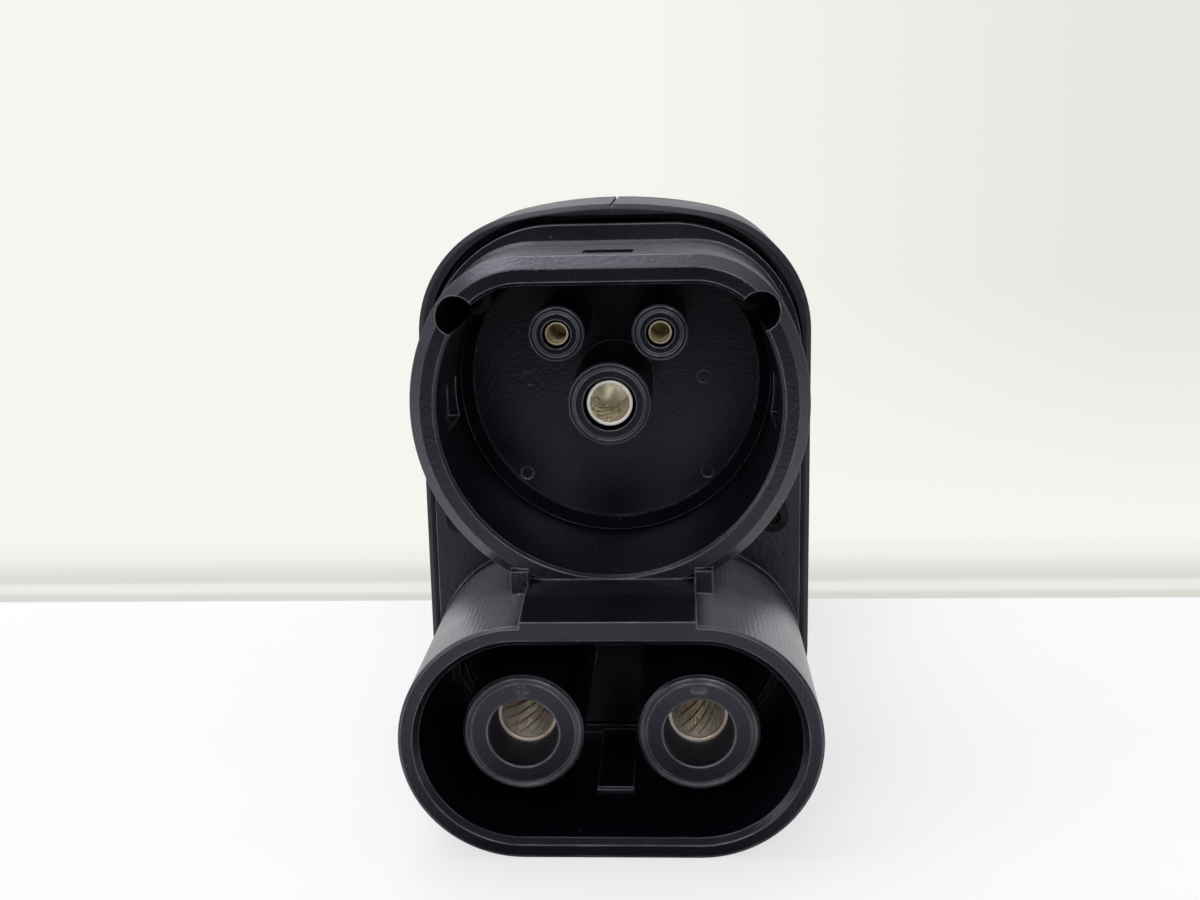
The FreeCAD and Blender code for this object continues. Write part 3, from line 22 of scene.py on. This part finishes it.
# The camera: where it stands, which way it looks, and its lens
CAMERA_PLACE = Vector((9.98, -272.82, 107.97)) * MM
CAMERA_PITCH = math.radians(12.48)
CAMERA_YAW = math.radians(3.04)
CAMERA_ROLL = math.radians(-1.21)
CAMERA_LENS = 42.46
SENSOR_WIDTH = 36.0

# The lamps: place, point they face, width and height, and power in watts
LAMPS = {
    "key": ((-0.25, 0.15, 1.0), (0, -0.05, 0.05), (0.9, 0.6), 5.7),
    "left": ((-0.8, -0.3, 0.4), (0, -0.05, 0.05), (0.4, 0.5), 1.0),
    "window_left": ((-0.35, -1.15, 0.62), (0, -0.05, 0.04), (0.25, 0.4), 4.2),
    "window_right": ((0.3, -1.15, 0.62), (0, -0.05, 0.04), (0.25, 0.4), 4.2),
}

# The room: its own light, how much of it is left on the camera's side, and the wall's two tones
ROOM_COLOUR = (0.88, 0.88, 0.9, 1.0)
ROOM_FRONT = 0.08
WALL_COLOUR = (0.915, 0.92, 0.875, 1.0)
DIM_WALL_COLOUR = (0.79, 0.795, 0.745, 1.0)

# The table: its ends, and the line behind the adapter where the wall's foot begins
TABLE_WIDTH = 6.0
TABLE_FRONT = -0.4
TABLE_LINE = 0.0486
TABLE_BACK = 0.1

# How much of its own tone the table shows, before and behind that line
TABLE_SHARE = 0.7
FOOT_SHARE = 0.94

# What the adapter mirrors of the table: a spot of painted shade before it, and painted shade toward the front
# end
SHADE_PLACE = -0.085
SHADE_INNER = 0.02
SHADE_OUTER = 0.06
SHADE_LEFT = 0.1
FRONT_SHADE_START = -0.29
FRONT_SHADE_LEFT = 0.3

# The bands at the wall's foot, each by its distance behind the adapter's middle; the darker bands are painted
# shadow along the table's back edge
WALL_FOOT_BANDS = (
    (0.0486, (0.95, 0.95, 0.945)),
    (0.0495, (0.67, 0.66, 0.61)),
    (0.0535, (0.69, 0.68, 0.63)),
    (0.0565, (0.83, 0.82, 0.77)),
    (0.0615, (0.83, 0.82, 0.77)),
    (0.0645, (0.7, 0.69, 0.64)),
    (0.0690, (0.71, 0.7, 0.65)),
    (0.0840, (0.86, 0.86, 0.81)),
    (0.1000, (0.9, 0.905, 0.86)),
)

# The direct current contacts, their funnels, and the outer flanks of the shroud round them
DC_HALF_PITCH = 13.5 * MM
DC_AXIS = 18.7 * MM
FUNNEL_RADIUS = 5.45 * MM
FLANK_INNER = 17.5 * MM
FLANK_OUTER = 19.4 * MM
FLANK_BACK = -38.0 * MM
FLANK_TOP = 40.0 * MM

# Behind this depth the lower carrier is dull, and above this height dust and a painted sheen lie on the tops
DULL_DEPTH = -52.0 * MM
DUST_AND_SHEEN_HEIGHT = 86.0 * MM


def add_camera():
    """Stands the camera at the photograph's place, looking a little down and to the left."""
    ahead = Vector((
        -math.sin(CAMERA_YAW) * math.cos(CAMERA_PITCH),
        math.cos(CAMERA_YAW) * math.cos(CAMERA_PITCH),
        -math.sin(CAMERA_PITCH),
    ))
    level = Vector((math.cos(CAMERA_YAW), math.sin(CAMERA_YAW), 0))
    upright = level.cross(ahead)
    across = level * math.cos(CAMERA_ROLL) + upright * math.sin(CAMERA_ROLL)
    up = upright * math.cos(CAMERA_ROLL) - level * math.sin(CAMERA_ROLL)
    data = bpy.data.cameras.new("camera")
    data.lens = CAMERA_LENS
    data.sensor_width = SENSOR_WIDTH
    data.clip_start = 0.01
    item = bpy.data.objects.new("camera", data)
    turn = Matrix((across, up, -ahead)).transposed().to_4x4()
    item.matrix_world = Matrix.Translation(CAMERA_PLACE) @ turn
    bpy.context.scene.collection.objects.link(item)
    bpy.context.scene.camera = item


def soft_light(name, place, target, size, power):
    """A broad lamp that faces its target."""
    data = bpy.data.lights.new(name, "AREA")
    data.shape = "RECTANGLE"
    data.size, data.size_y = size
    data.energy = power
    item = bpy.data.objects.new(name, data)
    place, target = Vector(place), Vector(target)
    item.location = place
    item.rotation_euler = (target - place).to_track_quat("-Z", "Y").to_euler()
    bpy.context.scene.collection.objects.link(item)


class Nodes:
    """A short way to lay out a node tree."""

    def __init__(self, tree):
        self.tree = tree

    def add(self, kind, **values):
        node = self.tree.nodes.new(kind)
        for key, value in values.items():
            setattr(node, key, value)
        return node

    def link(self, source, target):
        self.tree.links.new(source, target)

    def set(self, node, **values):
        for key, value in values.items():
            node.inputs[key.replace("_", " ")].default_value = value
        return node

    def parts(self, vector):
        """The X, Y and Z of a vector."""
        node = self.add("ShaderNodeSeparateXYZ")
        self.link(vector, node.inputs[0])
        return node.outputs

    def spread(self, value, low, high, to_low=0.0, to_high=1.0, kind="LINEAR"):
        """Takes the range from low to high to another range, and holds its ends beyond it."""
        node = self.add("ShaderNodeMapRange", interpolation_type=kind)
        for key, number in (("From Min", low), ("From Max", high), ("To Min", to_low), ("To Max", to_high)):
            node.inputs[key].default_value = number
        self.link(value, node.inputs["Value"])
        return node.outputs["Result"]

    def math(self, kind, first, second=None):
        node = self.add("ShaderNodeMath", operation=kind)
        for socket, value in zip(node.inputs, (first, second)):
            if value is None:
                continue
            if isinstance(value, (int, float)):
                socket.default_value = value
            else:
                self.link(value, socket)
        return node.outputs["Value"]

    def times(self, first, *others):
        """The product of all values."""
        for value in others:
            first = self.math("MULTIPLY", first, value)
        return first

    def length(self, across, along):
        """The length of the slope over two sides at a right angle."""
        squares = self.math("ADD", self.times(across, across), self.times(along, along))
        return self.math("SQRT", squares)

    def mix(self, factor, first, second):
        node = self.add("ShaderNodeMix", data_type="RGBA")
        for index, value in ((0, factor), (6, first), (7, second)):
            if isinstance(value, (int, float, tuple)):
                node.inputs[index].default_value = value
            else:
                self.link(value, node.inputs[index])
        return node.outputs[2]

    def blend(self, share, first, second):
        """Two shaders mixed by a share."""
        node = self.add("ShaderNodeMixShader")
        for socket, value in zip(node.inputs, (share, first, second)):
            self.link(value, socket)
        return node.outputs[0]


class Finish(Nodes):
    """The node tree of one material."""

    def __init__(self, name):
        self.material = bpy.data.materials.new(name)
        self.material.use_nodes = True
        super().__init__(self.material.node_tree)
        self.shader = self.tree.nodes["Principled BSDF"]
        self.place = self.add("ShaderNodeTexCoord").outputs["Object"]

    def give(self, key, source):
        """Links a source to an input of the material's main shader."""
        self.link(source, self.shader.inputs[key])

    def noise(self, scale, detail=4.0, rough=0.55, stretch=None, shift=0.0):
        node = self.set(self.add("ShaderNodeTexNoise"), Scale=scale, Detail=detail, Roughness=rough)
        place = self.place
        if stretch or shift:
            moved = self.add("ShaderNodeMapping")
            moved.inputs["Scale"].default_value = stretch or (1, 1, 1)
            moved.inputs["Location"].default_value = (shift, shift, shift)
            self.link(place, moved.inputs["Vector"])
            place = moved.outputs["Vector"]
        self.link(place, node.inputs["Vector"])
        return node.outputs["Fac"]

    def facing(self):
        """The direction of the plain surface."""
        return self.add("ShaderNodeNewGeometry").outputs["Normal"]

    def rounded(self, radius):
        """The direction of the surface with its sharp edges softened."""
        node = self.add("ShaderNodeBevel", samples=6)
        node.inputs["Radius"].default_value = radius
        return node.outputs["Normal"]

    def edge(self, radius):
        """1 on sharp edges and 0 on open faces."""
        dot = self.add("ShaderNodeVectorMath", operation="DOT_PRODUCT")
        self.link(self.rounded(radius), dot.inputs[0])
        self.link(self.facing(), dot.inputs[1])
        return self.spread(dot.outputs["Value"], 0.995, 0.9)

    def bump(self, height, distance, strength, normal):
        node = self.set(self.add("ShaderNodeBump"), Distance=distance, Strength=strength)
        self.link(height, node.inputs["Height"])
        self.link(normal, node.inputs["Normal"])
        return node.outputs["Normal"]


def rgb(red, green, blue):
    return (red, green, blue, 1.0)


def from_dc_axis(made, spot):
    """How far a place is across from the nearer direct current axis, and how far in all."""
    across = made.math("SUBTRACT", made.math("ABSOLUTE", spot["X"]), DC_HALF_PITCH)
    return across, made.length(across, made.math("SUBTRACT", spot["Z"], DC_AXIS))


def flank_share(made):
    """1 on the outer flanks of the lower shroud and 0 elsewhere."""
    spot = made.parts(made.place)
    across, reach = from_dc_axis(made, spot)
    outside = made.spread(reach, FLANK_INNER - 1.0 * MM, FLANK_INNER)
    inside = made.spread(reach, FLANK_OUTER + 0.8 * MM, FLANK_OUTER)
    beside = made.spread(across, -1.0 * MM, 2.0 * MM)
    low = made.spread(spot["Z"], FLANK_TOP + 4.0 * MM, FLANK_TOP)
    near = made.spread(spot["Y"], FLANK_BACK + 2.0 * MM, FLANK_BACK)
    return made.times(outside, inside, beside, low, near)


def funnel_share(made):
    """1 in the funnels before the direct current sockets and 0 elsewhere."""
    reach = from_dc_axis(made, made.parts(made.place))[1]
    return made.spread(reach, FUNNEL_RADIUS - 0.2 * MM, FUNNEL_RADIUS, 1.0, 0.0)


def flow_lines(made):
    """Fine lines from front to back on the outer flanks of the lower shroud."""
    waves = made.add("ShaderNodeTexWave", wave_type="BANDS", bands_direction="X")
    made.set(waves, Scale=380.0, Distortion=3.5, Detail=2.0, Detail_Scale=0.25)
    made.link(made.place, waves.inputs["Vector"])
    return made.times(waves.outputs["Fac"], flank_share(made), 0.35)


def dusted_and_sheened(made, colour, amount):
    """Pales a colour with dust and a painted sheen of the light from above: on the tops and the flanks that
    face upward.
    """
    high = made.spread(made.parts(made.place)["Z"], DUST_AND_SHEEN_HEIGHT - 6.0 * MM, DUST_AND_SHEEN_HEIGHT)
    upward = made.spread(made.parts(made.facing())["Z"], 0.45, 0.95, 0.0, amount)
    patchy = made.spread(made.noise(70.0, 4.0, shift=7.0), 0.35, 0.65, 0.75, 1.0)
    share = made.times(upward, made.math("MAXIMUM", high, flank_share(made)), patchy)
    return made.mix(share, colour, rgb(0.12, 0.122, 0.135))


def black_plastic(name, dark, light, rough, grain, grain_depth, wear_and_highlight_colour, edge_width, gloss,
                  flow=False, specks=0.2, dust_and_sheen=0.0, dull_from=None):
    """Moulded black plastic: cloudy tone, fine grain, edges paled by wear and a painted highlight, specks,
    and dust with a painted sheen.
    """
    made = Finish(name)
    cloud = made.spread(made.noise(38.0, 5.0), 0.35, 0.68)
    colour = made.mix(cloud, dark, light)
    # Painted highlight on the sharp edges, mixed with wear, in patches
    wear_and_highlight_patches = made.spread(made.noise(160.0, 3.0, shift=3.0), 0.38, 0.62, 0.4, 1.0)
    colour = made.mix(made.times(made.edge(edge_width), wear_and_highlight_patches), colour, wear_and_highlight_colour)
    dots = made.spread(made.noise(1500.0, 1.0, 0.3, shift=9.0), 0.77, 0.79, 0.0, specks)
    colour = made.mix(dots, colour, rgb(0.16, 0.16, 0.17))
    # Dust with a painted sheen: upward faces are paled
    if dust_and_sheen:
        colour = dusted_and_sheened(made, colour, dust_and_sheen)
    made.give("Base Color", colour)
    dullness = made.spread(made.noise(55.0, 4.0, shift=5.0), 0.3, 0.7, rough - 0.05, rough + 0.07)
    if dull_from is not None:
        deep = made.spread(made.parts(made.place)["Y"], dull_from, dull_from + 6.0 * MM, 0.0, 0.45)
        dullness = made.math("ADD", dullness, deep)
        dullness = made.math("ADD", dullness, made.times(funnel_share(made), 0.4))
    made.give("Roughness", dullness)
    height = made.math("ADD", made.noise(grain, 3.0, 0.6), made.times(made.noise(90.0, 2.0, shift=2.0), 0.25))
    if flow:
        height = made.math("ADD", height, flow_lines(made))
    made.give("Normal", made.bump(height, grain_depth, 1.0, made.rounded(0.4 * MM)))
    made.shader.inputs["Specular IOR Level"].default_value = gloss
    made.shader.inputs["Specular Tint"].default_value = rgb(0.8, 0.82, 1.0)
    return made.material


def metal(name, colour, shade, rough, brush=(1, 1, 1), share=1.0):
    """Brushed metal. A share below 1 stands for a plating with a dull film."""
    made = Finish(name)
    tone = made.spread(made.noise(140.0, 4.0), 0.35, 0.65)
    made.give("Base Color", made.mix(tone, colour, shade))
    made.shader.inputs["Metallic"].default_value = share
    lines = made.noise(600.0, 3.0, stretch=brush)
    made.give("Roughness", made.spread(lines, 0.3, 0.7, rough - 0.06, rough + 0.08))
    made.give("Normal", made.bump(lines, 0.02 * MM, 0.6, made.rounded(0.2 * MM)))
    return made.material


def plain_finish(name, colour, shade, rough):
    """Rubber, pale plastic, board, lacquer and wire coating."""
    made = Finish(name)
    tone = made.spread(made.noise(220.0, 4.0), 0.35, 0.65)
    made.give("Base Color", made.mix(tone, colour, shade))
    made.give("Roughness", made.spread(made.noise(88.0, 3.0), 0.3, 0.7, rough - 0.05, rough + 0.08))
    made.give("Normal", made.bump(made.noise(880.0, 3.0), 0.03 * MM, 1.0, made.rounded(0.3 * MM)))
    return made.material


def make_plastics():
    """The black plastics, each with the name endings of the nodes that it dresses."""
    # The fourth colour of each paints its edges: wear with a painted highlight
    handle = black_plastic(
        "handle_plastic", rgb(0.0034, 0.0034, 0.0052), rgb(0.0056, 0.0056, 0.0074), 0.42,
        2600.0, 0.05 * MM, rgb(0.04, 0.04, 0.045), 0.5 * MM, 0.35, specks=0.12, dust_and_sheen=0.25)
    front = black_plastic(
        "front_plastic", rgb(0.0018, 0.0018, 0.0042), rgb(0.0034, 0.0034, 0.0064), 0.24,
        1500.0, 0.06 * MM, rgb(0.19, 0.195, 0.22), 0.38 * MM, 0.58, flow=True, dust_and_sheen=1.0)
    deep = black_plastic(
        "deep_carrier_plastic", rgb(0.0016, 0.0016, 0.0032), rgb(0.0026, 0.0026, 0.0046), 0.27,
        1700.0, 0.04 * MM, rgb(0.15, 0.155, 0.175), 0.7 * MM, 0.72, dull_from=DULL_DEPTH)
    carrier = black_plastic(
        "carrier_plastic", rgb(0.0016, 0.0016, 0.0036), rgb(0.003, 0.003, 0.0056), 0.23,
        1700.0, 0.04 * MM, rgb(0.15, 0.155, 0.175), 0.4 * MM, 0.4)
    return (
        (("_shell",), handle),
        (("_body",), front),
        (("lower_contact_carrier",), deep),
        (("_carrier", "_core"), carrier),
    )


def make_metals():
    """The metals, each with the name endings of the nodes that it dresses."""
    drawn = (1, 0.1, 1)
    turned = (1, 0.15, 1)
    dark_steel = metal("black_oxide", rgb(0.012, 0.012, 0.014), rgb(0.03, 0.029, 0.028), 0.42)
    steel = metal("zinc_steel", rgb(0.55, 0.56, 0.58), rgb(0.38, 0.39, 0.41), 0.34)
    cream = metal("spring_metal", rgb(0.99, 0.92, 0.72), rgb(0.95, 0.86, 0.64), 0.27, drawn, 0.6)
    olive = metal("olive_spring_metal", rgb(0.97, 0.88, 0.68), rgb(0.84, 0.74, 0.54), 0.3, share=0.45)
    grey = metal("grey_spring_metal", rgb(0.96, 0.93, 0.86), rgb(0.86, 0.82, 0.74), 0.25, drawn, 0.7)
    silver = metal("silver_plate", rgb(0.95, 0.93, 0.88), rgb(0.84, 0.81, 0.74), 0.32, turned, 0.85)
    brass = metal("dull_brass", rgb(0.55, 0.48, 0.32), rgb(0.34, 0.29, 0.19), 0.38, share=0.8)
    warm = metal("warm_silver_plate", rgb(0.98, 0.9, 0.8), rgb(0.9, 0.74, 0.6), 0.32, turned, 0.8)
    copper = metal("copper", rgb(0.72, 0.4, 0.26), rgb(0.5, 0.26, 0.17), 0.32)
    return (
        (("flange_screws",), dark_steel),
        (("shell_screws",), steel),
        (("pe_spring",), cream),
        (("cp_spring", "pp_spring"), olive),
        (("_spring",), grey),
        (("pe_socket", "_pin"), silver),
        (("cp_socket", "pp_socket"), brass),
        (("_socket",), warm),
        (("_busbar",), copper),
    )


def make_others():
    """The other finishes, each with the name endings of the nodes that it dresses."""
    natural = plain_finish("natural_plastic", rgb(0.62, 0.6, 0.55), rgb(0.7, 0.69, 0.65), 0.45)
    seal = plain_finish("seal_rubber", rgb(0.008, 0.008, 0.008), rgb(0.02, 0.02, 0.02), 0.6)
    board = plain_finish("board_mask", rgb(0.015, 0.12, 0.05), rgb(0.02, 0.16, 0.07), 0.3)
    lacquer = plain_finish("resistor_lacquer", rgb(0.2, 0.35, 0.48), rgb(0.26, 0.42, 0.55), 0.25)
    green = plain_finish("green_coating", rgb(0.08, 0.3, 0.04), rgb(0.12, 0.36, 0.06), 0.4)
    white = plain_finish("white_coating", rgb(0.62, 0.62, 0.6), rgb(0.7, 0.7, 0.68), 0.4)
    return (
        (("_retainer",), natural),
        (("_gasket",), seal),
        (("signal_board",), board),
        (("board_resistors",), lacquer),
        (("pe_conductor",), green),
        (("_wire",), white),
    )


def dress_nodes():
    """Gives every CAD node the first finish that has an ending of its name."""
    finishes = make_plastics() + make_metals() + make_others()
    for name, item in NODES.items():
        finish = next(finish for endings, finish in finishes if name.endswith(endings))
        item.data.materials.clear()
        item.data.materials.append(finish)


def wall_foot_tone(made, depth):
    """The colour of the bands at the wall's foot, the darker ones painted shadow."""
    first, last = WALL_FOOT_BANDS[0][0], WALL_FOOT_BANDS[-1][0]
    bands = made.add("ShaderNodeValToRGB")
    made.link(made.spread(depth, first, last), bands.inputs["Fac"])
    stops = bands.color_ramp.elements
    for place, colour in WALL_FOOT_BANDS[1:-1]:
        stops.new((place - first) / (last - first)).color = rgb(*colour)
    stops[0].color = rgb(*WALL_FOOT_BANDS[0][1])
    stops[-1].color = rgb(*WALL_FOOT_BANDS[-1][1])
    return bands.outputs["Color"]


def table_paint():
    """White paint that partly shows its own tone, so that the table stays pale and keeps its shadow."""
    made = Finish("table_paint")
    tone = made.spread(made.noise(9.0, 4.0), 0.3, 0.7)
    made.give("Base Color", made.mix(tone, rgb(0.86, 0.86, 0.865), rgb(0.9, 0.9, 0.905)))
    made.shader.inputs["Roughness"].default_value = 0.6
    spot = made.parts(made.add("ShaderNodeNewGeometry").outputs["Position"])
    seen = made.add("ShaderNodeLightPath").outputs
    mirrored = seen["Is Glossy Ray"]
    glow = made.add("ShaderNodeEmission")
    # The glow takes the wall's foot bands, with their painted shadow lines
    made.link(wall_foot_tone(made, spot["Y"]), glow.inputs["Color"])
    # Painted shade in the mirrored table: a dark spot before the adapter and a dimmer front end
    reach = made.length(spot["X"], made.math("SUBTRACT", spot["Y"], SHADE_PLACE))
    shade = made.spread(reach, SHADE_INNER, SHADE_OUTER, SHADE_LEFT, 1.0)
    front_shade = made.spread(spot["Y"], FRONT_SHADE_START, TABLE_FRONT, 1.0, FRONT_SHADE_LEFT)
    plain = made.math("SUBTRACT", 1.0, mirrored)
    made.link(made.math("ADD", plain, made.times(mirrored, shade, front_shade)), glow.inputs["Strength"])
    beyond = made.spread(spot["Y"], TABLE_LINE - 0.5 * MM, TABLE_LINE + 0.5 * MM, TABLE_SHARE, FOOT_SHARE)
    direct = made.math("MAXIMUM", seen["Is Camera Ray"], seen["Is Transmission Ray"])
    share = made.math("MAXIMUM", made.times(direct, beyond), mirrored)
    surface = made.blend(share, made.shader.outputs[0], glow.outputs[0])
    made.link(surface, made.tree.nodes["Material Output"].inputs["Surface"])
    return made.material


def add_stage():
    """A white table. Behind its line it takes the tones of the wall's foot."""
    mesh = bmesh.new()
    bmesh.ops.create_grid(mesh, x_segments=1, y_segments=1, size=0.5)
    data = bpy.data.meshes.new("table")
    mesh.to_mesh(data)
    mesh.free()
    table = bpy.data.objects.new("table", data)
    table.scale = (TABLE_WIDTH, TABLE_BACK - TABLE_FRONT, 1)
    table.location = (0, (TABLE_BACK + TABLE_FRONT) / 2, 0)
    bpy.context.scene.collection.objects.link(table)
    table.data.materials.append(table_paint())


def light_scene():
    """A pale room: bright above and behind the adapter, dimmer on the camera's side."""
    world = bpy.data.worlds.new("world")
    bpy.context.scene.world = world
    world.use_nodes = True
    made = Nodes(world.node_tree)
    way = made.parts(made.add("ShaderNodeTexCoord").outputs["Generated"])
    room = made.tree.nodes["Background"]
    room.inputs["Color"].default_value = ROOM_COLOUR
    made.link(made.spread(way["Y"], -0.75, 0.45, ROOM_FRONT, 1.0, "SMOOTHSTEP"), room.inputs["Strength"])
    wall = made.add("ShaderNodeBackground")
    dimness = made.times(made.spread(way["X"], -0.02, 0.3), made.spread(way["Z"], -0.25, -0.1))
    made.link(made.mix(dimness, WALL_COLOUR, DIM_WALL_COLOUR), wall.inputs["Color"])
    camera_ray = made.add("ShaderNodeLightPath").outputs["Is Camera Ray"]
    surface = made.blend(camera_ray, room.outputs[0], wall.outputs[0])
    made.link(surface, made.tree.nodes["World Output"].inputs["Surface"])
    for name, (place, target, size, power) in LAMPS.items():
        soft_light(name, place, target, size, power)
    bpy.context.scene.view_settings.view_transform = "Standard"


add_camera()
dress_nodes()
add_stage()
light_scene()
